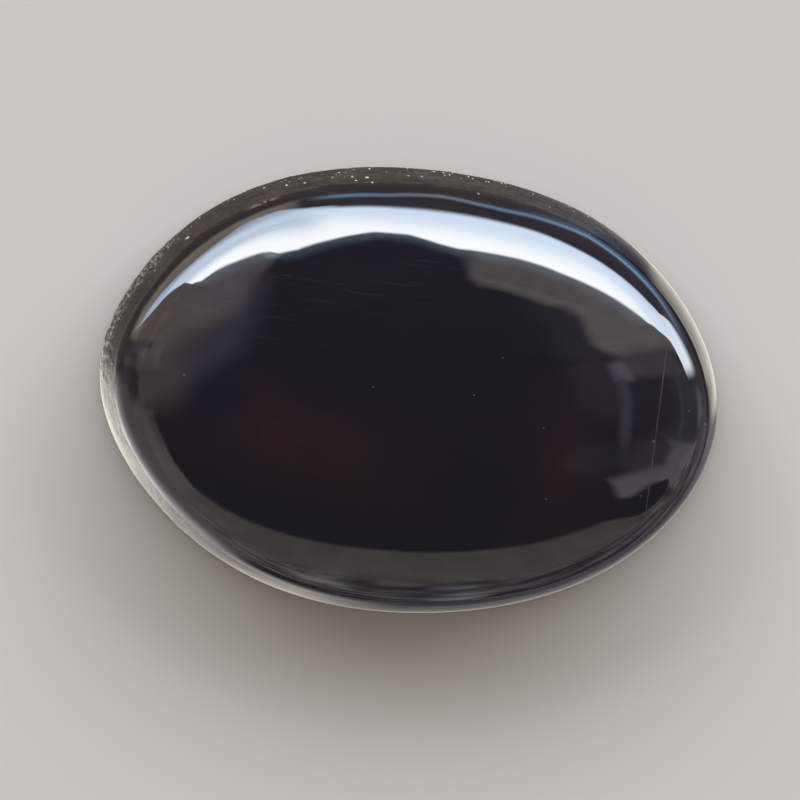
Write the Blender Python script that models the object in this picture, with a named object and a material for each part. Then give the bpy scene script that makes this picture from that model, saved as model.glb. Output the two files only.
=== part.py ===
"""A polished oval cabochon of carnelian, cut as one solid piece.

Frame: metres, +Z up, origin at the middle of the flat back that the stone rests on.
The long axis lies along X and the short axis along Y. From the back upwards the stone has
a small chamfer, a ground girdle that leans inwards, a crisp edge where the polish begins,
a tight shoulder and a low dome. Every level of it is an oval, slightly uneven because the
outline was ground by hand.
"""

import math

import bmesh
import bpy

MM = 0.001

# Driving dimensions
STONE_LENGTH = 30.0 * MM  # of the oval that the outline wavers about, along X
STONE_WIDTH = 21.75 * MM  # the same, along Y
STONE_HEIGHT = 7.2 * MM
BACK_CHAMFER = 0.35 * MM
GIRDLE_HEIGHT = 2.3 * MM  # from the back to the edge where the polish begins
GIRDLE_LEAN = math.radians(17.0)  # from upright, inwards
SHOULDER_RADIUS = 3.0 * MM
SHOULDER_START = math.radians(70.0)  # slope of the surface at the polished edge

# The outline was ground by hand, so it wavers: how many swells go round the oval,
# how far each stands out as a share of the radius, and where the first one lies
WHEEL_SWELLS = (
    (3, 0.0027, math.radians(5.0)),
    (4, 0.0023, math.radians(-23.0)),
    (5, 0.0037, math.radians(-27.0)),
    (6, 0.0043, math.radians(4.0)),
)

# How finely the surface is divided
OUTLINE_POINTS = 96
GIRDLE_LEVELS = 3
DOME_LEVELS = 36

# Body colour of the stone: red-brown so deep that it looks black in daylight
STONE_COLOUR = (0.012, 0.007, 0.006, 1.0)
POLISH_ROUGHNESS = 0.06


class DomeSection:
    """Half of the stone's upright section above the girdle: a shoulder arc, then a flat arc.

    Both arcs meet with the same slope, and the flat one is level over the stone's middle.
    """

    def __init__(self, half_width, height):
        self.base = GIRDLE_HEIGHT
        self.shoulder_middle = half_width - SHOULDER_RADIUS * math.sin(SHOULDER_START)
        self.shoulder_level = self.base - SHOULDER_RADIUS * math.cos(SHOULDER_START)
        rise = height - SHOULDER_RADIUS * (1.0 - math.cos(SHOULDER_START))
        self.joint_slope = 2.0 * math.atan2(rise, self.shoulder_middle)
        self.dome_radius = SHOULDER_RADIUS + self.shoulder_middle / math.sin(self.joint_slope)
        self.dome_level = self.base + height - self.dome_radius
        self.joint_height = self.dome_level + self.dome_radius * math.cos(self.joint_slope)

    def half_width_at(self, z):
        """Distance from the stone's axis to the surface at height z."""
        if z >= self.joint_height:
            drop = z - self.dome_level
            return math.sqrt(max(self.dome_radius**2 - drop**2, 0.0))
        drop = z - self.shoulder_level
        return self.shoulder_middle + math.sqrt(SHOULDER_RADIUS**2 - drop**2)

    def height_at_slope(self, slope):
        """Height of the point where the surface leans by this angle."""
        if slope <= self.joint_slope:
            return self.dome_level + self.dome_radius * math.cos(slope)
        return self.shoulder_level + SHOULDER_RADIUS * math.cos(slope)


def stone_levels():
    """Height and half sizes of each oval level, from the chamfer's foot to below the top."""
    half_length = STONE_LENGTH / 2.0
    half_width = STONE_WIDTH / 2.0
    levels = [(0.0, half_length - BACK_CHAMFER, half_width - BACK_CHAMFER)]
    wall = GIRDLE_HEIGHT - BACK_CHAMFER
    for step in range(GIRDLE_LEVELS + 1):
        rise = wall * step / GIRDLE_LEVELS
        inwards = rise * math.tan(GIRDLE_LEAN)
        levels.append((BACK_CHAMFER + rise, half_length - inwards, half_width - inwards))

    _, girdle_length, girdle_width = levels[-1]
    dome_height = STONE_HEIGHT - GIRDLE_HEIGHT
    along = DomeSection(girdle_length, dome_height)
    across = DomeSection(girdle_width, dome_height)
    for step in range(1, DOME_LEVELS):
        z = across.height_at_slope(SHOULDER_START * (1.0 - step / DOME_LEVELS))
        levels.append((z, along.half_width_at(z), across.half_width_at(z)))
    return levels


def wheel_swell(angle):
    """How the outline's radius here compares with the true oval's."""
    return 1.0 + sum(
        depth * math.cos(count * (angle - turn)) for count, depth, turn in WHEEL_SWELLS
    )


def oval_point(angle, z, half_length, half_width):
    """A point of the outline at this level."""
    swell = wheel_swell(angle)
    return (
        half_length * swell * math.cos(angle),
        half_width * swell * math.sin(angle),
        z,
    )


def shape_ring(verts, z, half_length, half_width):
    for index, vert in enumerate(verts):
        angle = 2.0 * math.pi * index / len(verts)
        vert.co = oval_point(angle, z, half_length, half_width)


def stone_mesh():
    """Raises the stone level by level from the outline of its back."""
    bm = bmesh.new()
    ring = bmesh.ops.create_circle(bm, segments=OUTLINE_POINTS, radius=1.0)["verts"]
    levels = stone_levels()
    shape_ring(ring, *levels[0])
    bottom_edges = list(bm.edges)
    edges = bottom_edges
    for level in levels[1:]:
        raised = bmesh.ops.extrude_edge_only(bm, edges=edges)["geom"]
        edges = [part for part in raised if isinstance(part, bmesh.types.BMEdge)]
        moved = {vert for edge in edges for vert in edge.verts}
        ring = ring_in_order(ring, moved)
        shape_ring(ring, *level)

    top = bm.verts.new((0.0, 0.0, STONE_HEIGHT))
    for edge in edges:
        bm.faces.new((edge.verts[0], edge.verts[1], top))
    bmesh.ops.edgeloop_fill(bm, edges=bottom_edges)
    bmesh.ops.recalc_face_normals(bm, faces=bm.faces)

    mesh = bpy.data.meshes.new("carnelian_stone")
    bm.to_mesh(mesh)
    bm.free()
    return mesh


def ring_in_order(old_ring, new_verts):
    """The extruded vertices, in the order of the ones that they were pulled from."""
    ordered = []
    for vert in old_ring:
        above = [edge.other_vert(vert) for edge in vert.link_edges]
        ordered.append(next(found for found in above if found in new_verts))
    return ordered


def polished_stone_material():
    material = bpy.data.materials.new("polished_stone")
    material.use_nodes = True
    shader = material.node_tree.nodes["Principled BSDF"]
    shader.inputs["Base Color"].default_value = STONE_COLOUR
    shader.inputs["Roughness"].default_value = POLISH_ROUGHNESS
    shader.inputs["Metallic"].default_value = 0.0
    shader.inputs["IOR"].default_value = 1.54
    return material


def make_stone():
    mesh = stone_mesh()
    mesh.materials.append(polished_stone_material())
    mesh.shade_smooth()
    mesh.set_sharp_from_angle(angle=math.radians(20.0))
    stone = bpy.data.objects.new("carnelian_stone", mesh)
    bpy.context.scene.collection.objects.link(stone)
    return stone


def clear_scene():
    for old in list(bpy.data.objects):
        bpy.data.objects.remove(old, do_unlink=True)


clear_scene()
make_stone()
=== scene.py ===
# %% [markdown]
# # A carnelian cabochon in a light tent
#
# The object is one polished stone: an oval dome of very dark red-brown chalcedony on a flat
# back, with a band round its edge that was ground but never polished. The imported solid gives
# the form and the place. Everything below gives the stone its fine surface, its finish, and a
# pale floor, soft light and a camera to look at it with.
#
# The frame is loaded first, so that every size can be measured against it.

# %% Load the frame
import math

import bpy
import numpy as np
from mathutils import Matrix, Vector


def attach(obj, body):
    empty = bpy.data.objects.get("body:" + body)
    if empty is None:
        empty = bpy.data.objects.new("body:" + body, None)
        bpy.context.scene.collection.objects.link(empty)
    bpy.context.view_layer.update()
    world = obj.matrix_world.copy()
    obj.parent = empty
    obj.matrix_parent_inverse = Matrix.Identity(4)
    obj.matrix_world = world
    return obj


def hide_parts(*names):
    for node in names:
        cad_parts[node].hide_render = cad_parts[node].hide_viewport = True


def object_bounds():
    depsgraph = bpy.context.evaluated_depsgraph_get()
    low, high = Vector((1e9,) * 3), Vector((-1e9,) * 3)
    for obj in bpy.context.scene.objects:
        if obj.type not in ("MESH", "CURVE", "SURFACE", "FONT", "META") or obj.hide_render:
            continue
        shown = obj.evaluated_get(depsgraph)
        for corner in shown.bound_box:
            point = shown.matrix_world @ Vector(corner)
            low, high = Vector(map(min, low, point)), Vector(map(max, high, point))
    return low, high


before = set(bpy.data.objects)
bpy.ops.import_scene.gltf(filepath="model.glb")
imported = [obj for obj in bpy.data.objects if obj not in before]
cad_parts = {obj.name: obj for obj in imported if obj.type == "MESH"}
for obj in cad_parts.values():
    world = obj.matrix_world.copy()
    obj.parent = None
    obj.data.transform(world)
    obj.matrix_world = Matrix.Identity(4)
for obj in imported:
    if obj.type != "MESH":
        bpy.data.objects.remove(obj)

MM = 0.001
cad_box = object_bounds()
for corner in cad_box:
    print("CAD box corner, mm:", [round(value / MM, 2) for value in corner])

# %% [markdown]
# ## The stone's section
#
# A cutter works a cabochon in stages: the outline and the girdle on the grinding wheel, then
# the steep shoulder, then the low dome. Each stage leaves its own curve, so the section is
# described in the same way: a small chamfer on the back edge, a wall that leans inwards more
# and more, a shoulder arc, and a flatter arc that is level at the top. An ellipsoid would be
# simpler, but it has no shoulder, and a polished stone shows every change of slope in what it
# reflects.

# %% Driving sizes
STONE_LENGTH = 30.0 * MM
STONE_WIDTH = 21.75 * MM
STONE_HEIGHT = cad_box[1][2]
BACK_CHAMFER = 0.35 * MM
GIRDLE_HEIGHT = 2.3 * MM
GIRDLE_LEAN = math.radians(17.0)
GIRDLE_ROUNDING = 1.3
SHOULDER_RADIUS = 3.0 * MM
SHOULDER_START = math.radians(70.0)
print("girdle", round(GIRDLE_HEIGHT / MM, 2), "mm of", round(STONE_HEIGHT / MM, 2), "mm")


# %% The two arcs of the dome
class DomeSection:
    """Half of the upright section above the girdle, along the oval or across it."""

    def __init__(self, half_width):
        height = STONE_HEIGHT - GIRDLE_HEIGHT
        self.shoulder_middle = half_width - SHOULDER_RADIUS * math.sin(SHOULDER_START)
        self.shoulder_level = GIRDLE_HEIGHT - SHOULDER_RADIUS * math.cos(SHOULDER_START)
        rise = height - SHOULDER_RADIUS * (1.0 - math.cos(SHOULDER_START))
        self.joint_slope = 2.0 * math.atan2(rise, self.shoulder_middle)
        self.radius = SHOULDER_RADIUS + self.shoulder_middle / math.sin(self.joint_slope)
        self.level = STONE_HEIGHT - self.radius
        self.joint_height = self.level + self.radius * math.cos(self.joint_slope)

    def half_width_at(self, z):
        if z >= self.joint_height:
            return math.sqrt(max(self.radius**2 - (z - self.level) ** 2, 0.0))
        drop = z - self.shoulder_level
        return self.shoulder_middle + math.sqrt(SHOULDER_RADIUS**2 - drop**2)

    def height_at_slope(self, slope):
        if slope <= self.joint_slope:
            return self.level + self.radius * math.cos(slope)
        return self.shoulder_level + SHOULDER_RADIUS * math.cos(slope)


girdle_inset = (GIRDLE_HEIGHT - BACK_CHAMFER) * math.tan(GIRDLE_LEAN)
along = DomeSection(STONE_LENGTH / 2 - girdle_inset)
across = DomeSection(STONE_WIDTH / 2 - girdle_inset)
print("dome radius along", round(along.radius / MM, 1), "and across", round(across.radius / MM, 1))

# %% Levels from the back to the top
GIRDLE_STEPS, SHOULDER_STEPS, DOME_STEPS = ((24, 34, 46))


def girdle_levels():
    """Height and half sizes of the levels of the ground wall, chamfer first."""
    half_length, half_width = STONE_LENGTH / 2, STONE_WIDTH / 2
    yield 0.0, half_length - BACK_CHAMFER, half_width - BACK_CHAMFER
    for step in range(GIRDLE_STEPS + 1):
        share = step / GIRDLE_STEPS
        inset = girdle_inset * share**GIRDLE_ROUNDING
        z = BACK_CHAMFER + (GIRDLE_HEIGHT - BACK_CHAMFER) * share
        yield z, half_length - inset, half_width - inset


def dome_levels():
    """The same for the polished dome, closer together where it turns faster."""
    turn = across.joint_slope
    slopes = [*np.linspace(SHOULDER_START, turn, SHOULDER_STEPS, endpoint=False)[1:]]
    slopes += [*np.linspace(turn, 0.0, DOME_STEPS, endpoint=False)]
    for slope in slopes:
        z = across.height_at_slope(slope)
        yield z, along.half_width_at(z), across.half_width_at(z)


levels = [*girdle_levels(), *dome_levels()]
print(len(levels), "levels")

# %% [markdown]
# ## The outline
#
# The stone was held against the wheel by hand, so its outline is not a true oval. Four slow
# swells round it, each about a twentieth of a millimetre deep, are enough to take away the
# look of a part turned on a lathe. The outline starts as a circle primitive, and every point
# is set on the swelling oval once. All later levels are pulled up from it and keep the same
# swells.

# %% Outline of the back
OUTLINE_POINTS = 640
WHEEL_SWELLS = ((3, 0.0027, 5.0), (4, 0.0023, -23.0), (5, 0.0037, -27.0), (6, 0.0043, 4.0))


def wheel_swell(angle):
    """Radius of the outline at this angle, compared with the true oval's."""
    waves = (d * math.cos(n * (angle - math.radians(t))) for n, d, t in WHEEL_SWELLS)
    return 1.0 + sum(waves)


bpy.ops.object.select_all(action="DESELECT")
bpy.ops.mesh.primitive_circle_add(vertices=OUTLINE_POINTS, radius=1.0, fill_type="NOTHING")
stone = bpy.context.object
stone.name = stone.data.name = "polished_carnelian"
_, back_length, back_width = levels[0]
for vert in stone.data.vertices:
    swell = wheel_swell(math.atan2(vert.co.y, vert.co.x))
    vert.co = (vert.co.x * back_length * swell, vert.co.y * back_width * swell, 0.0)
print("outline of", len(stone.data.vertices), "points")

# %% [markdown]
# ## Raising the stone
#
# Each level is an extrusion of the last ring, lifted and then resized about the stone's axis.
# A subdivision surface over a few rings would be lighter work, but it pulls in from its cage,
# and the mirror-like dome would show where. With the rings this close, every one of them lies
# on the true section.

# %% Rings from the back to the top
bpy.ops.object.mode_set(mode="EDIT")
bpy.ops.mesh.select_all(action="SELECT")
for (z, length, width), (next_z, next_length, next_width) in zip(levels, levels[1:]):
    bpy.ops.mesh.extrude_region_move(TRANSFORM_OT_translate={"value": (0, 0, next_z - z)})
    bpy.ops.transform.resize(
        value=(next_length / length, next_width / width, 1.0), center_override=(0, 0, next_z)
    )
last_rise = STONE_HEIGHT - levels[-1][0]
bpy.ops.mesh.extrude_region_move(TRANSFORM_OT_translate={"value": (0, 0, last_rise)})
bpy.ops.mesh.merge(type="CENTER")
print("raised to", round(STONE_HEIGHT / MM, 2), "mm")

# %% Close the back
bpy.ops.mesh.select_all(action="DESELECT")
bpy.ops.mesh.select_mode(type="EDGE")
bpy.ops.mesh.select_non_manifold()
bpy.ops.mesh.edge_face_add()
bpy.ops.mesh.select_mode(type="VERT")
bpy.ops.mesh.select_all(action="SELECT")
bpy.ops.mesh.normals_make_consistent(inside=False)
bpy.ops.object.mode_set(mode="OBJECT")
triangles = sum(len(face.vertices) - 2 for face in stone.data.polygons)
print(len(stone.data.vertices), "vertices,", triangles, "triangles")

# %% [markdown]
# ## The ground girdle
#
# The wheel leaves the girdle with a fine grain, and one end was never ground smooth: it still
# glitters with the broken edges of tiny crystals. Relief this fine could be left to a bump in
# the material, but the silhouette would stay ruler-smooth, so Displace modifiers move the
# mesh itself. A vertex group holds each one to its own part of the edge.

# %% Where the wheel left its grain
GRAIN_TOP, GRAIN_FADE = GIRDLE_HEIGHT + 0.1 * MM, 0.25 * MM
FINE_SIDE_X, FINE_SIDE_Y = 0.8, 0.6
FINE_START, FINE_FADE = 2.0 * MM, 6.0 * MM
LOST_WHERE_FINE = 0.85
ROUGH_END, ROUGH_SPREAD = math.radians(170.0), math.radians(13.0)
ROUGH_TOP, ROUGH_FADE = 2.4 * MM, 1.2 * MM


def clamp(value):
    return min(max(value, 0.0), 1.0)


def girdle_share(co):
    """Up to 1 on the ground wall, less where it was ground finer, 0 on the back and the dome."""
    up = clamp(co.z / BACK_CHAMFER)
    down = clamp((GRAIN_TOP - co.z) / GRAIN_FADE)
    fine = clamp((co.x * FINE_SIDE_X - co.y * FINE_SIDE_Y + FINE_START) / FINE_FADE)
    return up * down * (1.0 - LOST_WHERE_FINE * fine) if co.z > 0.0 else 0.0


def rough_share(co):
    """1 at the end that was left rough, fading along the edge and up the shoulder."""
    away = math.atan2(co.y, co.x) % math.tau - ROUGH_END
    along_edge = math.exp(-((away / ROUGH_SPREAD) ** 2))
    return along_edge * clamp((ROUGH_TOP - co.z) / ROUGH_FADE) if co.z > 0.0 else 0.0


# %% Vertex groups for the grain
LEAST_WEIGHT = 0.001
for name, share in (("ground_girdle", girdle_share), ("rough_end", rough_share)):
    group = stone.vertex_groups.new(name=name)
    weights = [(vert.index, share(vert.co)) for vert in stone.data.vertices]
    weights = [(index, weight) for index, weight in weights if weight > LEAST_WEIGHT]
    for index, weight in weights:
        group.add([index], weight, "REPLACE")
    print(name, "holds", len(weights), "vertices")


# %% Grain in the mesh
def grain(name, group, size, depth):
    """Moves the group's vertices in and out by a fine texture, and applies it."""
    texture = bpy.data.textures.new(name, "CLOUDS")
    texture.noise_scale = size
    modifier = stone.modifiers.new(name, "DISPLACE")
    modifier.texture = texture
    modifier.vertex_group = group
    modifier.texture_coords = "LOCAL"
    modifier.strength = depth
    modifier.mid_level = 0.6
    bpy.ops.object.modifier_apply(modifier=name)
    print(name, "up to", round(depth / MM, 3), "mm deep")


grain("wheel_grain", "ground_girdle", 0.22 * MM, 0.022 * MM)
grain("wheel_flats", "ground_girdle", 1.3 * MM, 0.05 * MM)
grain("broken_crystals", "rough_end", 0.26 * MM, 0.12 * MM)
CRISP_ANGLE = math.radians(25.0)
bpy.ops.object.shade_smooth_by_angle(angle=CRISP_ANGLE)
stone.vertex_groups.clear()

# %% Tie the stone to the frame
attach(stone, "root")
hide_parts("carnelian_stone")

# %% [markdown]
# ## Maths on sockets
#
# Finishes and light are mixed from masks. Written as nodes one by one, even a short sum takes
# a dozen lines, so a socket is wrapped in a small class and Python's own signs add the nodes.


# %% Sockets as values
class Wire:
    """An output socket that can be added, multiplied and so on."""

    def __init__(self, tree, socket):
        self.tree, self.socket = tree, socket

    def node(self, kind, settings=None, inputs=None, output=0):
        """Adds a node beside this one, and returns one of its outputs."""
        return add_node(self.tree, kind, settings, inputs, output)

    def math(self, operation, *others):
        values = dict(enumerate((self, *others)))
        return self.node("ShaderNodeMath", {"operation": operation}, values)

    def __add__(self, other):
        return self.math("ADD", other)

    def __sub__(self, other):
        return self.math("SUBTRACT", other)

    def __rsub__(self, other):
        return self.math("MULTIPLY_ADD", -1.0, other)

    def __mul__(self, other):
        return self.math("MULTIPLY", other)

    def __truediv__(self, other):
        return self.math("DIVIDE", other)

    __radd__ = __add__
    __rmul__ = __mul__

    def rise(self, start, end):
        """0 up to start, 1 from end on, and a soft step between."""
        limits = {"Value": self, "From Min": start, "From Max": end}
        return self.node("ShaderNodeMapRange", {"interpolation_type": "SMOOTHSTEP"}, limits)

    def fall(self, start, end):
        return 1.0 - self.rise(start, end)

    def hump(self, middle, reach):
        """1 at the middle, 0 beyond its reach on either side."""
        return (self - middle).math("ABSOLUTE").fall(0.0, reach)

    def blend(self, first, second):
        """The first colour where this is 0, the second where it is 1."""
        kind = {"data_type": "RGBA"}
        return self.node("ShaderNodeMix", kind, {0: self, 6: first, 7: second}, 2)

    def plus(self, share, colour):
        """This colour, with a share of another one added."""
        kind = {"data_type": "RGBA", "blend_type": "ADD"}
        return self.node("ShaderNodeMix", kind, {0: share, 6: self, 7: colour}, 2)

    def scaled(self, level):
        """This colour, made lighter or darker by a level that varies."""
        kind = {"data_type": "RGBA", "blend_type": "MULTIPLY"}
        return self.node("ShaderNodeMix", kind, {0: 1.0, 6: self, 7: level}, 2)

    def times(self, factors):
        """This vector, with each of its three parts multiplied."""
        kind = {"operation": "MULTIPLY"}
        return self.node("ShaderNodeVectorMath", kind, {0: self, 1: factors})

    def distance_to(self, point):
        """How far this vector is from a fixed point."""
        kind = {"operation": "DISTANCE"}
        return self.node("ShaderNodeVectorMath", kind, {0: self, 1: point}, 1)


def add_node(tree, kind, settings=None, inputs=None, output=0):
    made = tree.nodes.new(kind)
    for name, value in (settings or {}).items():
        setattr(made, name, value)
    for name, value in (inputs or {}).items():
        if isinstance(value, Wire):
            tree.links.new(value.socket, made.inputs[name])
        else:
            made.inputs[name].default_value = value
    return Wire(tree, made.outputs[output])


def axes(wire):
    """The X, Y and Z of a vector."""
    return [wire.node("ShaderNodeSeparateXYZ", None, {0: wire}, part) for part in range(3)]


def shade(red, green, blue):
    return (red, green, blue, 1.0)


def so_far(step, tree):
    """Says how many nodes there are after a step."""
    print(step + ":", len(tree.nodes), "nodes so far")


DEGREES = 180.0 / math.pi

# %% [markdown]
# ## The finish
#
# Carnelian is chalcedony coloured by iron. This one is so deep that it reads as black, with a
# slightly bluer black in places and the red-brown only where light gets in; these patches are
# partly painted reflection. The polished dome is nearly a mirror, the girdle is satin from the
# wheel, and a few scratches, specks of dust and quartz grains, partly painted glints, keep it
# from looking like glass. A material for each part would need its own faces, and the parts run
# into one another. So one material covers the whole stone, and every mask in it is worked out
# from the place on the stone: X, Y and Z in millimetres, as the middle of a patch and its
# reach, or as where an edge starts and ends.

# %% Start the finish
finish = bpy.data.materials.new("polished_carnelian_finish")
finish.use_nodes = True
shader = finish.node_tree.nodes["Principled BSDF"]
CHALCEDONY_IOR = 1.54
shader.inputs["IOR"].default_value = CHALCEDONY_IOR
coordinates = add_node(finish.node_tree, "ShaderNodeTexCoord", output=3)
in_mm = {"Vector": coordinates, "Scale": (1 / MM,) * 3}
place = coordinates.node("ShaderNodeMapping", None, in_mm)
x, y, z = axes(place)
finish_tree = finish.node_tree
so_far("finish", finish_tree)


def noise(size, detail=2.0, stretch=(1.0, 1.0, 1.0), turn=0.0, where=place):
    """Noise with features of this size in millimetres, perhaps drawn out along one way."""
    turned = {"Vector": where, "Scale": stretch, "Rotation": (0.0, 0.0, math.radians(turn))}
    vector = place.node("ShaderNodeMapping", None, turned)
    values = {"Vector": vector, "Scale": 1.0 / size, "Detail": detail}
    return place.node("ShaderNodeTexNoise", None, values)


# %% Where the stone is ground
EDGE_WANDER, EDGE_RAGGEDNESS, CHIPPED_DOWN = 0.30, 0.12, 0.3
edge = GIRDLE_HEIGHT / MM
round_angle = y.math("ARCTAN2", x) * DEGREES
rough_end = round_angle.rise(148.0, 164.0) + round_angle.fall(-179.9, -174.0)
wander = (noise(1.6, 3.0) - 0.5) * EDGE_WANDER + (noise(0.25) - 0.5) * EDGE_RAGGEDNESS
ground = (z - rough_end * CHIPPED_DOWN + wander).fall(edge - 0.22, edge + 0.12)
half_polished = (z + wander).fall(edge, edge + 0.55)
off_back = z.rise(0.03, 0.20)
on_dome = z.rise(edge, edge + 0.4)
print("the polish begins", round(edge, 2), "mm up")

# %% The girdle unrolled, and the dome from above
MM_PER_DEGREE = 0.2
unrolled = place.node("ShaderNodeCombineXYZ", None, {0: round_angle * MM_PER_DEGREE, 1: z})
above = place.node("ShaderNodeCombineXYZ", None, {0: x, 1: y})
print("girdle unrolled at", MM_PER_DEGREE, "mm a degree")

# %% [markdown]
# ## Colours of the body and of the ground stone
#
# A dark stone gets nearly all its life from what it mirrors, but the body still shows where
# nothing bright is reflected. Slow patches of red-brown, smoke and blue-black keep that from
# being one flat black. The red-brown and the blue-black patches are set where the dome looks
# reddish and bluish, so they are partly painted reflection. Ground stone scatters light, so it
# is paler, with lines along the wheel's way on the girdle and straight lapping marks on the back.

# %% Body colour
NEAR_BLACK, RED_BROWN = shade(0.0015, 0.0012, 0.0022), shade(0.0125, 0.0036, 0.0026)
SMOKY, BLUE_BLACK = shade(0.0036, 0.0026, 0.0034), shade(0.0018, 0.0016, 0.0052)
# Warm and cool patches: the stone's body colour, set where the dome looks reddish and bluish, so
# partly painted reflection.
warm_left = (x + 6.0).hump(0.0, 9.5) * (y + x * 0.19 + 3.45).hump(0.0, 3.5)
warm_right = (x - 7.2).hump(0.0, 3.4) * (y + 1.6).hump(0.0, 5.4)
warm_body_and_reflection = (warm_left * 0.85 + warm_right * 0.7) * (noise(4.0, 3.0).rise(0.30, 0.60) * 0.5 + 0.6)
cloud = noise(1.3, 3.0, stretch=(0.4, 1.0, 1.0), turn=-12.0).rise(0.35, 0.75)
cool_body_and_reflection = (x + 9.9).hump(0.0, 2.8) * (y + 0.5).hump(0.0, 2.8)
body = warm_body_and_reflection.blend(NEAR_BLACK, RED_BROWN)
body = (cloud * 0.35).blend(body, SMOKY)
body = cool_body_and_reflection.blend(body, BLUE_BLACK)
so_far("body colour", finish_tree)

# %% Ground girdle and back
DARK_SATIN, PALE_SATIN = shade(0.0030, 0.0020, 0.0014), shade(0.0165, 0.0115, 0.0082)
WHEEL_LINE, BROWN_PATCH = shade(0.0012, 0.0009, 0.0008), shade(0.026, 0.0185, 0.0125)
LAPPED = shade(0.036, 0.029, 0.023)
grit_tone = noise(0.22, 4.0).rise(0.30, 0.70)
wheel_lines = noise(0.13, 2.0, stretch=(0.07, 1.0, 1.0), where=unrolled).rise(0.40, 0.62)
patches = noise(0.9, 3.0, stretch=(0.5, 1.0, 1.0), where=unrolled).rise(0.45, 0.70)
lapping = noise(0.30, 3.0, stretch=(0.05, 1.0, 0.0), turn=35.0).rise(0.35, 0.70)
satin = grit_tone.blend(DARK_SATIN, PALE_SATIN)
satin = ((1.0 - wheel_lines) * off_back * 0.75).blend(satin, WHEEL_LINE)
satin = (patches * off_back * 0.45).blend(satin, BROWN_PATCH)
satin = ((1.0 - off_back) * lapping * 0.6).blend(satin, LAPPED)
coloured = ground.blend(body, satin)
so_far("ground stone", finish_tree)

# %% [markdown]
# ## Grains, painted glints and specks
#
# Chalcedony often grows on quartz, and the wheel cuts through some of its grains, which stay
# as pale dots on the girdle and as a crust at the rough end. The pale dots also stand for the
# glints of light off the grit, so they are partly painted glints. Modelled one by one they
# would be hundreds of tiny solids for what is only colour, so a Voronoi pattern scatters them.
# The few that catch the eye are listed by their own place: on the girdle by the angle round
# the stone and the height, on the dome by X and Y.


# %% Dots on the cells of a pattern
def specks(spacing, size, share, height=1.0, spread="3D"):
    """Dots of up to this size, on this share of the cells of a Voronoi pattern."""
    stretched = {"Vector": place, "Scale": (1.0, 1.0, 1.0 / height)}
    cells = place.node("ShaderNodeMapping", None, stretched)
    values = {"Vector": cells, "Scale": 1.0 / spacing}
    kind = {"voronoi_dimensions": spread}
    distance = place.node("ShaderNodeTexVoronoi", kind, values, 0)
    lot = axes(place.node("ShaderNodeTexVoronoi", kind, values, 1))
    dots = distance.fall(0.45 * size / spacing, size / spacing)
    return dots * lot[0].rise(1.0 - share, 1.02 - share) * (lot[1] * 0.8 + 0.2)


# %% Quartz and painted glints sprinkled on the girdle
far_side = (y - x * 0.35).rise(0.5, 5.0)
peppered = (x + 0.6).hump(0.0, 6.5)
on_outer_edge = z.rise(0.10, 0.30) * z.fall(0.7, 1.3)
on_wall = z.rise(0.3, 0.5)
sprinkled = specks(0.20, 0.060, 0.46, 1.8) * on_outer_edge
sprinkled = sprinkled + specks(0.50, 0.085, 0.26, 1.8) * on_wall * z.fall(edge, edge + 0.3)
sprinkled = sprinkled * (far_side * (peppered * 0.7 + 0.3) + 0.1)
outer_half = (z + wander).fall(0.9, 1.6) * off_back
crusted = specks(0.18, 0.095, 0.55, 1.5) * rough_end * outer_half * 0.55
grains_and_glints = sprinkled.math("MAXIMUM", crusted)
so_far("sprinkled quartz", finish_tree)

# %% Single grains and painted glints on the girdle: degrees round, mm up, radius
SINGLE_GRAINS_AND_GLINTS = (
    (151.4, 1.62, 0.115), (160.5, 1.68, 0.055), (138.9, 0.77, 0.050), (132.1, 0.84, 0.070),
    (127.5, 1.32, 0.080), (123.5, 1.52, 0.070), (114.8, 0.93, 0.070), (111.5, 1.91, 0.080),
    (108.5, 1.65, 0.115), (107.6, 2.17, 0.080), (97.7, 1.39, 0.070), (94.2, 1.39, 0.085),
    (90.7, 0.61, 0.080), (88.3, 0.64, 0.085), (80.7, 0.80, 0.060),
)
GRAIN_AND_GLINT_STRENGTH = 0.5
for degrees, height, radius in SINGLE_GRAINS_AND_GLINTS:
    away = unrolled.distance_to((degrees * MM_PER_DEGREE, height, 0.0))
    grains_and_glints = grains_and_glints.math("MAXIMUM", away.fall(radius * 0.3, radius * 1.1) * GRAIN_AND_GLINT_STRENGTH)
print(len(SINGLE_GRAINS_AND_GLINTS), "single grains")

# %% Single specks on the dome, and dust: mm along X and Y, radius
SINGLE_SPECKS = (
    (14.15, 0.26, 0.075), (14.17, -0.39, 0.065), (11.52, -0.63, 0.085),
    (11.28, -3.36, 0.065), (6.56, -3.81, 0.080), (-11.25, 0.14, 0.080),
)
SPECK_STRENGTH = 0.8
dust = specks(1.2, 0.048, 0.055, spread="2D")
for along_x, along_y, radius in SINGLE_SPECKS:
    away = above.distance_to((along_x, along_y, 0.0))
    dust = dust.math("MAXIMUM", away.fall(radius * 0.2, radius) * SPECK_STRENGTH)
dust = dust * z.rise(edge, edge + 0.5)
print(len(SINGLE_SPECKS), "single specks")

# %% Grains with painted glints, specks, crust and a worn place on the edge
QUARTZ_AND_GLINT, DUST_GREY = shade(0.46, 0.43, 0.35), shade(0.10, 0.09, 0.08)
CRUST, WORN = shade(0.085, 0.082, 0.066), shade(0.115, 0.092, 0.054)
crust_tone = rough_end * outer_half * noise(0.24, 3.0).rise(0.44, 0.62)
worn_edge = (round_angle - 134.5).hump(0.0, 5.0) * (z - edge).hump(0.0, 0.22)
worn_edge = worn_edge * noise(0.3).rise(0.30, 0.52)
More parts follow.
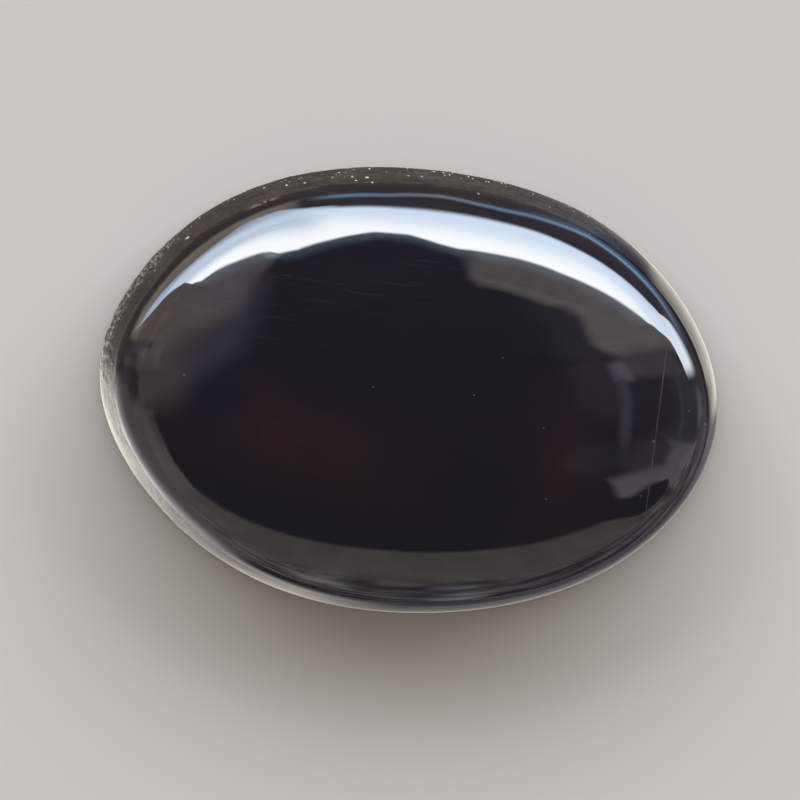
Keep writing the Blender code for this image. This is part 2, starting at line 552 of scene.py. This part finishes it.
# Pale dots: quartz grains, and painted glints of light off the grit.
coloured = grains_and_glints.blend(coloured, QUARTZ_AND_GLINT)
coloured = (dust * 0.65).blend(coloured, DUST_GREY)
coloured = (crust_tone * 0.75).blend(coloured, CRUST)
coloured = (worn_edge * 0.8).blend(coloured, WORN)
so_far("grains, specks and crust", finish_tree)

# %% [markdown]
# ## Marks of wear and polish
#
# One long hairline scratch crosses the right end, and the last polish left fine marks on the
# far side. They are far too shallow to see in the shape, and a mirror hides them except where
# they scatter light, so each is a thin line that is paler and rougher than the dome round it.

# %% One long hairline scratch
SCRATCH_X, SCRATCH_Y = 11.6, -0.4
SCRATCH_WIDTH, SCRATCH_BOW, SCRATCH_FADE, SCRATCH_REACH = 0.045, 0.006, 3.2, 4.8
SCRATCH_TONE = shade(0.05, 0.045, 0.038)
off_scratch = x - SCRATCH_X - (y - SCRATCH_Y).math("POWER", 2.0) * SCRATCH_BOW
along_scratch = (y - SCRATCH_Y).math("ABSOLUTE")
scratch = off_scratch.hump(0.0, SCRATCH_WIDTH) * along_scratch.fall(SCRATCH_FADE, SCRATCH_REACH)
scratch = scratch * noise(0.8).rise(0.20, 0.50) * on_dome
coloured = (scratch * 0.4).blend(coloured, SCRATCH_TONE)
print("scratch", 2 * SCRATCH_REACH, "mm long and", SCRATCH_WIDTH, "mm to each side")

# %% Marks of the last polish, and a faint smear
POLISH_MARK, SMEARED = shade(0.013, 0.013, 0.016), shade(0.014, 0.013, 0.014)
fine_marks = noise(0.16, 2.0, stretch=(0.04, 1.0, 0.0), turn=-6.0).rise(0.60, 0.74)
crossing_marks = noise(0.14, 2.0, stretch=(0.10, 1.0, 0.0), turn=-24.0).rise(0.63, 0.77)
fine_marks = fine_marks.math("MAXIMUM", crossing_marks)
marked_side = (y * 0.8 - x * 0.35).rise(2.0, 7.0)
coloured = (fine_marks * marked_side * 0.34).blend(coloured, POLISH_MARK)
from_smear = above.distance_to((-11.25, 0.7, 0.0))
smear = from_smear.hump(2.0, 0.16) + from_smear.hump(1.35, 0.22)
smear = smear * (y - 0.9).hump(0.0, 0.9) * x.fall(-12.3, -11.9) * on_dome
coloured = (smear * 0.8).blend(coloured, SMEARED)
finish_tree.links.new(coloured.socket, shader.inputs["Base Color"])
so_far("marks", finish_tree)

# %% Shine
MIRROR, EDGE_DULLNESS, GROUND_DULLNESS, SCRATCH_DULLNESS = 0.02, 0.08, 0.20, 0.25
haze = noise(2.5, 3.0) * 0.02 + fine_marks * marked_side * 0.02
finer = (x * FINE_SIDE_X - y * FINE_SIDE_Y).rise(-2.0, 4.0)
roughness = MIRROR + haze + half_polished * (EDGE_DULLNESS - finer * 0.04)
roughness = roughness + ground * (GROUND_DULLNESS - finer * 0.12) + scratch * SCRATCH_DULLNESS
finish_tree.links.new(roughness.socket, shader.inputs["Roughness"])
print("roughness from", MIRROR, "on the dome to", MIRROR + GROUND_DULLNESS, "where ground")

# %% Fine relief
GRIT_DEPTH = 0.02 * MM
grit = (noise(0.07, 3.0) + noise(0.4)) * ground * (1.0 - finer * 0.88)
bump = {"Height": grit, "Strength": 0.5, "Distance": GRIT_DEPTH}
relief = coordinates.node("ShaderNodeBump", None, bump)
finish_tree.links.new(relief.socket, shader.inputs["Normal"])
stone.data.materials.append(finish)
so_far("whole finish", finish_tree)

# %% [markdown]
# ## The floor
#
# A plain sheet of pale matt card, wide enough to fill the picture from any side. A polished
# stone mirrors the card all round its lower shoulder, which would lift the black to grey. So
# the card is left out of reflections, and the tent below it takes its place there.

# %% Pale card
FLOOR_SIZE = 1.6
FLOOR_GAP = 0.02 * MM
bpy.ops.object.select_all(action="DESELECT")
bpy.ops.mesh.primitive_plane_add(size=FLOOR_SIZE, location=(0, 0, -FLOOR_GAP))
floor = bpy.context.object
floor.name = "floor"
floor.visible_glossy = False
pale_card = bpy.data.materials.new("pale_card")
pale_card.use_nodes = True
card_shader = pale_card.node_tree.nodes["Principled BSDF"]
card_shader.inputs["Base Color"].default_value = shade(0.345, 0.320, 0.280)
card_shader.inputs["Roughness"].default_value = 1.0
card_shader.inputs["Specular IOR Level"].default_value = 0.0
floor.data.materials.append(pale_card)
print("floor is", FLOOR_SIZE, "m wide")

# %% [markdown]
# ## The light tent
#
# A black mirror shows nothing but its surroundings, so the light is made as a set of soft
# shapes round the stone: a long window of white light low on the far side, walls of thin
# cloth to the left and right, a low pale front, and dark overhead where the camera looks in.
# Lamps and cards could stand on the floor for this, but they would be in the way of the other
# views, so the shapes are laid out by compass direction and elevation, in degrees, in the
# world's own background.

# %% Directions
tent = bpy.data.worlds.new("light_tent")
bpy.context.scene.world = tent
tent.use_nodes = True
tent_tree = tent.node_tree
direction = add_node(tent_tree, "ShaderNodeTexCoord")
east, north, upward = axes(direction)
elevation = upward.math("ARCSINE") * DEGREES
azimuth = north.math("ARCTAN2", east) * DEGREES
FOLDS_HANG = (1, 1, 0.12)
flattened = direction.times(FOLDS_HANG)
compass = flattened.node("ShaderNodeVectorMath", {"operation": "NORMALIZE"}, {0: flattened})


def unevenness(scale, detail, where=direction, stretch=None):
    """Noise over the tent, perhaps drawn out along one way."""
    if stretch:
        where = where.node("ShaderNodeMapping", None, {"Vector": where, "Scale": stretch})
    values = {"Vector": where, "Scale": scale, "Detail": detail}
    return where.node("ShaderNodeTexNoise", None, values)


so_far("directions", tent_tree)


# %% Edges drawn through a few points
def drawn_edge(*points):
    """Elevation of an edge that runs through (azimuth, elevation) points."""
    first, last = points[0][0], points[-1][0]
    ramp = tent_tree.nodes.new("ShaderNodeValToRGB")
    ramp.color_ramp.interpolation = "LINEAR"
    stops = ramp.color_ramp.elements
    while len(stops) < len(points):
        stops.new(1.0)
    for stop, (degrees, height) in zip(stops, points):
        stop.position = (degrees - first) / (last - first)
        stop.color = ((height + 90.0) / 180.0,) * 3 + (1.0,)
    share = (azimuth - first) / (last - first)
    tent_tree.links.new(share.socket, ramp.inputs[0])
    return axes(Wire(tent_tree, ramp.outputs[0]))[0] * 180.0 - 90.0


# %% Cards and how they hang
def card(middle, width, bottom, top, soft):
    """Mask of a card about one azimuth, between two elevations, with soft edges."""
    away = (azimuth - middle).math("WRAP", 180.0, -180.0).math("ABSOLUTE")
    sideways = away.fall(width / 2 - soft, width / 2 + soft)
    above_foot = elevation.rise(bottom - soft, bottom + soft)
    return sideways * above_foot * elevation.fall(top - soft, top + soft)


def hang(cards, walls):
    """The walls with these cards in front of them, each one over the last."""
    for _, reach, tone in cards:
        walls = card(*reach).blend(walls, shade(*tone))
    print(len(cards), "cards hung")
    return walls


# %% [markdown]
# ## Walls, and what lies below them
#
# The walls are thin cloth with folds, and a few flat cards on them stand for posts, a doorway
# and the darker gaps between. Each is a name, then the azimuth of its middle, its width, its
# foot and its top and the softness of its edges, all in degrees, then its light. Below the
# horizon, the stone's lower shoulder mirrors a bed of pale crystals. Modelled crystals would
# be in the way of the other views, and so low on the shoulder they come out as streaks, so
# stretched noise and a few more cards are enough for them.

# %% Walls of thin cloth, hung in folds
WALL_CARDS = (
    ("front", (262.0, 110.0, -12.0, 30.0, 4.0), (0.86, 0.77, 0.75)),
    ("front left", (222.0, 46.0, -22.0, 26.0, 6.0), (1.10, 0.98, 0.94)),
    ("left wall", (158.0, 25.0, -14.0, 60.0, 3.0), (1.45, 1.20, 1.06)),
    ("left post", (181.0, 13.0, 16.0, 46.0, 2.0), (1.15, 0.98, 0.88)),
    ("left joint", (172.5, 6.0, 35.0, 60.0, 2.5), (1.30, 1.08, 0.97)),
    ("left strip", (196.0, 20.0, 24.0, 46.0, 4.0), (0.90, 0.74, 0.68)),
    ("left gap", (194.0, 17.0, -60.0, 22.0, 5.0), (0.40, 0.32, 0.31)),
    ("right wall", (50.0, 54.0, 8.0, 45.0, 2.0), (1.48, 1.34, 1.30)),
    ("door frame", (18.5, 12.0, 16.0, 42.0, 3.0), (0.78, 0.72, 0.82)),
    ("right post", (340.0, 17.0, -8.0, 40.0, 2.0), (1.30, 1.10, 1.22)),
    ("doorway", (1.5, 27.0, -6.0, 50.0, 2.5), (0.43, 0.41, 0.50)),
    ("doorway head", (3.0, 24.0, 28.0, 50.0, 2.5), (0.27, 0.25, 0.31)),
    ("frame top", (18.0, 8.0, 37.5, 42.5, 1.2), (1.28, 1.16, 1.36)),
    ("doorstep", (3.0, 13.0, -18.0, -5.0, 3.0), (0.98, 0.96, 1.06)),
    ("far left wall", (133.0, 30.0, 20.0, 60.0, 4.0), (1.42, 1.24, 1.32)),
    ("ledge", (139.0, 62.0, -18.0, 2.0, 5.0), (2.30, 1.95, 1.65)),
    ("under the window", (70.5, 74.0, -16.0, 16.0, 1.2), (0.42, 0.37, 0.42)),
)
folds = unevenness(11.0, 3.0, compass)
walls = folds.rise(0.35, 0.70).blend(shade(0.46, 0.40, 0.39), shade(0.86, 0.77, 0.75))
walls = hang(WALL_CARDS, walls)
mottle = 0.45 + unevenness(5.0, 4.0) * 0.7 + folds * 0.4
walls = walls.scaled(mottle)
so_far("cloth walls", tent_tree)

# %% Below the horizon
deep = elevation.fall(-28.0, -10.0)
streaks = unevenness(1.0, 3.0, stretch=(2.2, 2.2, 14.0))
low_near = streaks.rise(0.40, 0.64).blend(shade(0.12, 0.11, 0.13), shade(0.52, 0.50, 0.55))
low_near = (elevation.hump(-42.0, 15.0) * 0.6).blend(low_near, shade(0.12, 0.115, 0.12))
low_near = elevation.fall(-72.0, -60.0).blend(low_near, shade(0.66, 0.62, 0.55))
nearest = azimuth.rise(-104.0, -96.0) * azimuth.fall(-42.0, -26.0)
shaded = elevation.hump(-54.0, 12.0) * nearest * 0.75
low_near = shaded.blend(low_near, shade(0.15, 0.14, 0.13))
walls = (deep * north.fall(-0.1, 0.2)).blend(walls, low_near)
walls = (deep * north.rise(-0.1, 0.2)).blend(walls, shade(0.34, 0.28, 0.25))
so_far("below the horizon", tent_tree)

# %% Single crystals and gaps below the horizon
LOW_CARDS = (
    ("dark foot", (294.0, 48.0, -16.0, 2.5, 2.5), (0.52, 0.47, 0.53)),
    ("dull stones", (345.0, 26.0, -38.0, -11.0, 4.0), (0.50, 0.47, 0.51)),
    ("bright crystal", (267.5, 8.0, -9.0, -1.0, 2.0), (1.20, 1.18, 1.24)),
    ("second crystal", (285.0, 5.0, -26.0, 0.0, 3.0), (1.00, 0.99, 1.08)),
    ("gap at the right", (18.5, 49.0, -47.0, -34.0, 2.5), (0.12, 0.12, 0.15)),
    ("duller crystals at the right", (20.0, 30.0, -57.0, -48.0, 2.0), (1.30, 1.24, 1.12)),
    ("crystals at the right", (12.0, 42.0, -90.0, -55.0, 4.0), (1.85, 1.76, 1.55)),
    ("far right", (44.0, 14.0, -90.0, -53.0, 2.5), (0.62, 0.58, 0.58)),
    ("shade at the far right", (46.0, 18.0, -53.0, -40.0, 2.0), (0.05, 0.09, 0.19)),
)
walls = hang(LOW_CARDS, walls)

# %% Glints between the crystals in front
glints = unevenness(1.0, 3.0, stretch=(7.0, 7.0, 17.0)).rise(0.35, 0.67)
in_front = card(290.0, 104.0, -34.0, 4.0, 4.0)
walls = in_front.blend(walls, walls.scaled(glints + 0.5))
so_far("glints", tent_tree)

# %% Heap of crystals on the left
slope_tone = elevation.rise(-36.0, -16.0).blend(shade(1.6, 1.52, 1.45), shade(0.80, 0.76, 0.77))
walls = card(222.0, 58.0, -46.0, 0.0, 8.0).blend(walls, slope_tone)
wide_heap, bright_heap = card(237.0, 76.0, -90.0, -42.0, 8.0), card(216.5, 43.0, -90.0, -41.0, 9.0)
heap = wide_heap * 0.26 + bright_heap * 0.74
heap_tone = elevation.rise(-60.0, -46.0).blend(shade(3.9, 3.6, 2.9), shade(3.2, 3.2, 3.3))
walls = heap.blend(walls, heap_tone.scaled(0.75 + streaks * 0.5))
so_far("heap of crystals", tent_tree)

# %% [markdown]
# ## The opening the camera looks in through
#
# Above the walls the tent is open and dark, and the edge between them is what the whole
# middle of the dome mirrors. A straight edge would look like a studio box, so it is drawn
# through a few points. A painted picture of the surroundings would do the same, but then
# nothing in it could be moved or turned later.

# %% Top of the walls
far_top = drawn_edge(
    (0, 40), (14, 41.5), (22, 41.5), (24, 38), (27, 40), (31, 41.5), (36, 40), (42, 37.5),
    (47, 38), (52, 40.3), (72, 42), (75, 40), (77.5, 35), (80.5, 29), (84, 27), (91, 26),
    (97, 29.5), (112, 32), (120, 34.5), (124, 37), (134, 41), (146, 47), (151, 46.5),
    (158, 44), (167, 41), (180, 40.3),
)
near_top = drawn_edge(
    (-180, 40.3), (-166, 40), (-158, 37.5), (-152, 34), (-146, 31.5), (-138, 28.5),
    (-131, 24), (-124, 21), (-118, 20), (-84, 20), (-78, 19.4), (-62, 19.4), (-55, 20),
    (-46, 20), (-42, 17.5), (-39.5, 13), (-36, 9.5), (-32, 9.5), (-28, 14), (-26, 23),
    (-20, 26.5), (-15, 27), (-11, 30), (-7, 36), (0, 40),
)
beyond = north.rise(-0.001, 0.001)
wall_top = beyond * far_top + (1.0 - beyond) * near_top
so_far("top of the walls", tent_tree)

# %% Dark overhead, paler towards the rims
overhead = shade(0.198, 0.186, 0.236)
left_side = east.fall(-0.60, -0.40) * north.rise(-0.50, -0.15)
right_side = east.rise(0.30, 0.60) * north.rise(-0.3, 0.2)
rim_top = drawn_edge(
    (-180, 52), (-165, 46), (-155, 42), (-146, 36), (130, 47), (140, 52), (150, 55),
    (165, 56), (180, 52),
)
left_rim = (rim_top - elevation).rise(-4.0, 5.0) * left_side
rim_tone = elevation.rise(42.0, 50.0).blend(shade(0.84, 0.71, 0.68), shade(0.56, 0.52, 0.76))
surroundings = left_rim.blend(overhead, rim_tone)
right_rim = (wall_top + 9.0 - elevation).rise(-6.0, 4.0) * right_side
surroundings = (right_rim * 0.8).blend(surroundings, shade(0.40, 0.37, 0.45))
so_far("overhead", tent_tree)

# %% Walls in front of it, with a softer edge in some places
softness = 1.2 + 3.3 * left_side + 1.0 * right_side + azimuth.hump(80.0, 12.0) * 3.0
wall_mask = (wall_top - elevation).rise(softness * -1.0, softness)
surroundings = wall_mask.blend(surroundings, walls)
so_far("walls in place", tent_tree)

# %% Thin bright edges on the right
stripe_level = drawn_edge(
    (-30, 31), (-26, 34), (-22, 36.2), (-17, 38.1), (-10, 39.8), (0, 40.6), (16, 40.2)
)
stripe = (elevation - stripe_level).hump(0.0, 2.4)
stripe = stripe * azimuth.rise(-30.0, -8.0) * azimuth.fall(14.0, 18.0)
surroundings = stripe.blend(surroundings, shade(0.66, 0.60, 0.90))
hoop = (elevation - 26.0).hump(0.0, 1.6) * azimuth.rise(-16.0, -10.0) * azimuth.fall(12.0, 16.0)
surroundings = (hoop * 0.6).blend(surroundings, shade(0.70, 0.68, 0.84))
so_far("thin edges", tent_tree)

# %% Bright wedge on the right, and the light and shade round it
wedge_top = drawn_edge((-38.5, 25.5), (-36, 29), (-33.5, 33), (-29, 31), (-25, 28.5), (-21, 26))
wedge_foot = drawn_edge((-38.5, 25.5), (-36, 24.0), (-31, 24), (-28.5, 22.5), (-25, 16))
wedge = (wedge_top - elevation).rise(-2.5, 2.5) * (elevation - wedge_foot).rise(-1.5, 1.5)
wedge = wedge * azimuth.rise(-39.5, -36.5) * azimuth.fall(-24.0, -20.0)
surroundings = wedge.blend(surroundings, shade(1.36, 1.18, 1.32))
halo = card(-20.0, 15.0, 26.0, 35.0, 4.0)
surroundings = (halo * 0.7).blend(surroundings, shade(0.62, 0.50, 0.58))
gleam = (far_top - elevation - 2.6).hump(0.0, 1.7)
gleam = gleam * azimuth.rise(40.0, 48.0) * azimuth.fall(70.0, 76.0)
surroundings = (gleam * 0.3).blend(surroundings, shade(2.3, 2.1, 2.1))
dim_corner = card(-27.0, 16.0, 35.0, 47.0, 4.0)
surroundings = (dim_corner * 0.5).blend(surroundings, shade(0.36, 0.36, 0.50))
so_far("wedge", tent_tree)

# %% [markdown]
# ## The long window
#
# The brightest thing on the stone is the long bow of white light along its far shoulder. One
# rectangle in the sky would come out as a bow too, but an even one. Daylight comes in past
# a frame and whatever stands outside, so the window's top and its foot are drawn edges, it is
# whiter high up and bluer low down, and it feathers out at one place.

# %% Shape of the window
window_top = drawn_edge(
    (14, 9), (20, 10.5), (26.5, 12), (28.5, 16), (30, 19.5), (33, 23.6), (36, 24.6),
    (41, 25.1), (50, 26.1), (57, 26.7), (62, 26.6), (68, 26.8), (77, 27.8), (80, 28.4),
    (83, 27.6), (88, 25.1), (94, 25.2), (104, 29.6), (114, 33.3), (119.5, 33.9),
    (121.4, 32.5), (124, 32.3), (130, 32.8), (143, 33.2), (145, 30), (145.6, 20),
    (150, 13.5), (155, 9.5), (160, 4), (170, -10),
)
window_foot = drawn_edge(
    (14, -18), (20, -17), (27, -13.5), (31, -10), (33, -4), (34.5, 1.5), (38, 4.6),
    (41, 5.4), (45, 6.6), (50, 8.0), (60, 10.0), (68, 10.6), (75, 11.6), (90, 12.4),
    (99, 12.1), (103, 10.6), (106, 7.6), (109, 2), (113, -5), (122, -7), (128, 0),
    (140, 2), (150, -1), (160, -6), (170, -14),
)
feathered = azimuth.hump(107.0, 9.0) * 3.0
window = (elevation - window_foot).rise(-1.0 - feathered, 1.8 + feathered)
window = window * (window_top - elevation).rise(-0.6, 0.7)
window = window * azimuth.rise(13.0, 19.0) * azimuth.fall(166.0, 170.0)
window = window * (1.0 - azimuth.fall(30.0, 36.0) * elevation.fall(-16.0, -2.0) * 0.8)
so_far("window", tent_tree)

# %% Its light
PALE_BLUE, BLUE_WHITE = shade(8.0, 9.8, 13.0), shade(12.5, 14.8, 17.8)
WHITE = shade(20.3, 20.8, 21.2)
low_left = azimuth.rise(100.0, 110.0)
glow = elevation.rise(3.0, 15.0).blend(PALE_BLUE, BLUE_WHITE)
glow = (elevation - low_left * 4.5).rise(15.0, 26.0).blend(glow, WHITE)
glow = (azimuth.fall(22.0, 46.0) * 0.7).blend(glow, shade(13.0, 14.4, 15.2))
glow = (elevation.fall(-9.0, 3.0) * low_left).blend(glow, shade(3.2, 3.5, 3.7))
low_warm = azimuth.hump(136.0, 22.0) * elevation.fall(0.0, 11.0)
glow = low_warm.blend(glow, shade(4.6, 3.8, 3.0))
glow = glow.scaled(1.0 - low_left * elevation.fall(20.0, 30.0) * streaks * 0.35)
so_far("its light", tent_tree)

# %% Blue fringe over it, and one feather
fringe = (elevation - window_top).fall(0.0, 5.0) * (elevation - window_foot).rise(0.0, 2.0)
fringe = fringe * azimuth.rise(28.0, 34.0) * azimuth.fall(148.0, 156.0)
surroundings = surroundings.plus(fringe, shade(0.60, 0.98, 1.34))
feather = card(122.0, 3.4, 31.0, 35.0, 1.0)
surroundings = (feather * 0.8).blend(surroundings, shade(3.4, 4.2, 4.9))
lit = window.blend(surroundings, glow)
so_far("fringe", tent_tree)

# %% Blue light from under the window
blue_level = drawn_edge(
    (18, -16), (26, -18), (36, -25), (46, -27), (57, -28), (60, -25.5), (65, -19.5),
    (70, -14), (75, -7.5), (79, -8), (84, -13), (88, -10), (91, -6.5), (100, -10.5),
    (108, -14),
)
blue = (elevation - blue_level).hump(0.0, 8.0)
blue = blue * azimuth.rise(18.0, 44.0) * azimuth.fall(98.0, 107.0)
navy = (elevation - blue_level).hump(-9.0, 9.0)
navy = navy * azimuth.rise(18.0, 40.0) * azimuth.fall(66.0, 76.0)
lit = (navy * (1.0 - window) * 0.30).blend(lit, shade(0.95, 2.0, 3.6))
blue_tone = azimuth.hump(86.0, 9.0).blend(shade(1.8, 2.9, 4.3), shade(2.2, 2.4, 2.6))
lit = (blue * (1.0 - window)).blend(lit, blue_tone)
so_far("blue light", tent_tree)

# %% [markdown]
# ## One tent for gloss, a simpler one for matt
#
# Only a mirror shows the tent's shapes. The matt card is lit by their sum, and a soft light
# from the same side gives it the same shade and shadow in far less time. So the world is made
# of three backgrounds, and the Light Path node says which kind of ray gets which one.

# %% Three backgrounds
soft_window = azimuth.rise(18.0, 40.0) * azimuth.fall(140.0, 165.0)
soft_window = soft_window * elevation.rise(4.0, 14.0) * elevation.fall(28.0, 32.0)
soft_light = soft_window.blend(shade(0.60, 0.54, 0.53), shade(15.5, 17.2, 19.5))
backdrop = shade(0.60, 0.58, 0.55)


def background(colour):
    """A background of this colour."""
    return add_node(tent_tree, "ShaderNodeBackground", None, {"Color": colour})


def either(mask, first, second):
    """The first background where the mask is 0, the second where it is 1."""
    return add_node(tent_tree, "ShaderNodeMixShader", None, {0: mask, 1: first, 2: second})


camera_ray = add_node(tent_tree, "ShaderNodeLightPath", output=0)
glossy_ray = add_node(tent_tree, "ShaderNodeLightPath", output=3)
chosen = either(camera_ray, background(soft_light), background(backdrop))
chosen = either(glossy_ray, chosen, background(lit))
tent_tree.links.new(chosen.socket, tent_tree.nodes["World Output"].inputs["Surface"])
so_far("whole tent", tent_tree)

# %% [markdown]
# ## The camera
#
# A long lens looks almost straight down on the dome, leaning nine degrees to the far left, so
# that the girdle shows wide on that side and thin on the other. Three angles place it, which
# is easier to read and to change than a matrix typed in by hand.

# %% Camera
VIEW_TILT = math.radians(8.9)
VIEW_TURN = math.radians(128.2)
VIEW_ROLL = math.radians(6.84)
VIEW_DISTANCE = 350 * MM
VIEW_WIDTH = 38.54 * MM
AIM_HEIGHT = 2.0 * MM
AIM_RIGHT, AIM_UP = -0.62 * MM, -0.22 * MM
SENSOR_MM = 36.0

lean = math.sin(VIEW_TILT)
towards = Vector((lean * math.cos(VIEW_TURN), lean * math.sin(VIEW_TURN), math.cos(VIEW_TILT)))
level_up = (Vector((0, 1, 0)) - towards * towards.y).normalized()
picture_up = level_up * math.cos(VIEW_ROLL) - level_up.cross(towards) * math.sin(VIEW_ROLL)
picture_right = picture_up.cross(towards)
aim = Vector((0, 0, AIM_HEIGHT)) + picture_right * AIM_RIGHT + picture_up * AIM_UP

camera = bpy.data.objects.new("camera", bpy.data.cameras.new("camera"))
bpy.context.scene.collection.objects.link(camera)
turned = Matrix((picture_right, picture_up, towards)).transposed().to_4x4()
camera.matrix_world = Matrix.Translation(aim + towards * VIEW_DISTANCE) @ turned
camera.data.sensor_width = SENSOR_MM
camera.data.lens = SENSOR_MM * VIEW_DISTANCE / VIEW_WIDTH
camera.data.clip_start, camera.data.clip_end = 0.01, 10.0
bpy.context.scene.camera = camera
bpy.context.scene.view_settings.view_transform = "Standard"
print("lens", round(camera.data.lens), "mm")
